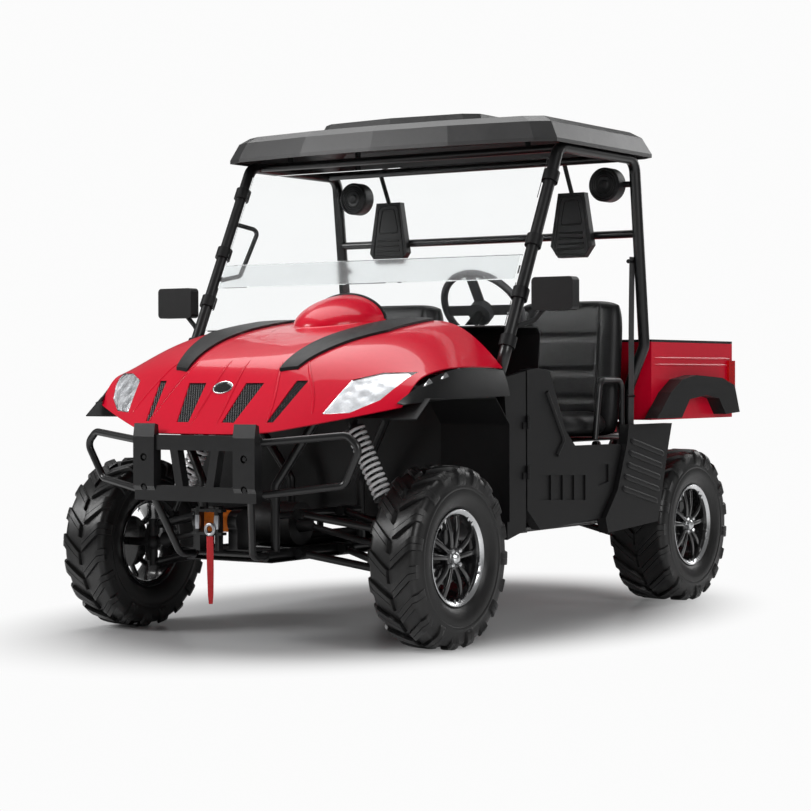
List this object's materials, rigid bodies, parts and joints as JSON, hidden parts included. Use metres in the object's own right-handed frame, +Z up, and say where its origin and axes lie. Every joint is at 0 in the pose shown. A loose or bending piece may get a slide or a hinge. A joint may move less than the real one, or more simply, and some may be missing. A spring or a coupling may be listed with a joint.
{
  "type": "side by side utv",
  "caption": "Two-seat side by side utility vehicle with a roofed tube cage, windshield, half doors, front bumper with winch and a tipping cargo bed with tailgate.",
  "frame": {"origin": "on the ground under the middle of the vehicle's overall length and width", "axes": "+Z up; the front faces -Y and the tailgate +Y; +X is the vehicle's left, the driver's side"},
  "size_m": [1.914, 2.754, 1.945],
  "materials": {
    "tyre": "deep-lugged rubber, satin",
    "rim": "gloss black painted alloy with a machined lip",
    "red_paint": "deep red metallic gloss",
    "black_plastic": "grained black moulding",
    "black_steel": "satin black powder coat",
    "steel": "bare steel",
    "zinc": "silver coated",
    "iron": "cast metal",
    "clear": "clear pane",
    "lens": "clear lamp lens",
    "red_lens": "red lamp lens",
    "vinyl": "black seat vinyl",
    "webbing": "woven strap",
    "red_webbing": "red woven strap",
    "rope": "orange winch rope"
  },
  "bodies": {
    "vehicle": {"cab_mouldings": "black_plastic", "chassis_frame": "black_steel", "dash": "black_plastic", "driveline": "iron", "engine_block": "iron", "floor_pan": "black_steel", "front_bumper": "black_plastic", "front_fenders": "black_plastic", "headlamps": "lens", "hip_hoops": "black_steel", "hitch_receiver": "black_steel", "hood": "red_paint", "hood_grilles": "black_plastic", "muffler": "steel", "pillar_fittings": "black_plastic", "roll_cage": "black_steel", "roof": "black_plastic", "seat_belts": "webbing", "seats": "vinyl", "shock_absorbers": "zinc", "side_panels": "black_plastic", "suspension_arms": "black_steel", "winch": "black_steel", "winch_hook": "zinc", "winch_rope": "rope", "winch_strap": "red_webbing", "windshield": "clear"},
    "left_front_wheel": {"front_left_rim": "rim", "front_left_tyre": "tyre"},
    "right_front_wheel": {"front_right_rim": "rim", "front_right_tyre": "tyre"},
    "left_rear_wheel": {"rear_left_rim": "rim", "rear_left_tyre": "tyre"},
    "right_rear_wheel": {"rear_right_rim": "rim", "rear_right_tyre": "tyre"},
    "left_knuckle": {"left_knuckle": "iron"},
    "right_knuckle": {"right_knuckle": "iron"},
    "steering_wheel": {"steering_wheel": "black_plastic"},
    "left_door": {"left_door": "black_plastic"},
    "right_door": {"right_door": "black_plastic"},
    "cargo_bed": {"cargo_bed": "red_paint", "bed_trim": "black_plastic", "tail_lamps": "red_lens"},
    "tailgate": {"tailgate": "red_paint"}
  },
  "joints": [
    {"name": "steer_left", "type": "hinge", "parent": "vehicle", "child": "left_knuckle", "pos_m": [0.6, -0.88, 0.3175], "axis": [0, 0, 1], "range_deg": [-30, 30]},
    {"name": "steer_right", "type": "hinge", "parent": "vehicle", "child": "right_knuckle", "pos_m": [-0.6, -0.88, 0.3175], "axis": [0, 0, 1], "range_deg": [-30, 30]},
    {"name": "steering_turn", "type": "hinge", "parent": "vehicle", "child": "steering_wheel", "pos_m": [0.36, -0.06, 1.195], "axis": [0, 0.8192, 0.5736], "range_deg": [-270, 270]},
    {"name": "front_left_roll", "type": "hinge", "parent": "left_knuckle", "child": "left_front_wheel", "pos_m": [0.685, -0.88, 0.3175], "axis": [1, 0, 0], "continuous": true},
    {"name": "front_right_roll", "type": "hinge", "parent": "right_knuckle", "child": "right_front_wheel", "pos_m": [-0.685, -0.88, 0.3175], "axis": [1, 0, 0], "continuous": true},
    {"name": "rear_left_roll", "type": "hinge", "parent": "vehicle", "child": "left_rear_wheel", "pos_m": [0.5975, 1.04, 0.3175], "axis": [1, 0, 0], "continuous": true},
    {"name": "rear_right_roll", "type": "hinge", "parent": "vehicle", "child": "right_rear_wheel", "pos_m": [-0.5975, 1.04, 0.3175], "axis": [1, 0, 0], "continuous": true},
    {"name": "left_door_hinge", "type": "hinge", "parent": "vehicle", "child": "left_door", "pos_m": [0.729, -0.35, 0.68], "axis": [0, 0, -1], "range_deg": [0, 75]},
    {"name": "right_door_hinge", "type": "hinge", "parent": "vehicle", "child": "right_door", "pos_m": [-0.729, -0.35, 0.68], "axis": [0, 0, 1], "range_deg": [0, 75]},
    {"name": "bed_tilt", "type": "hinge", "parent": "vehicle", "child": "cargo_bed", "pos_m": [0, 1.22, 0.728], "axis": [-1, 0, 0], "range_deg": [0, 40]},
    {"name": "tailgate_hinge", "type": "hinge", "parent": "cargo_bed", "child": "tailgate", "pos_m": [0, 1.3693, 0.785], "axis": [-1, 0, 0], "range_deg": [0, 90]}
  ],
  "couplings": [
    {"joint": "steer_right", "follows": "steer_left", "ratio": 1},
    {"joint": "steering_turn", "follows": "steer_left", "ratio": 9}
  ]
}
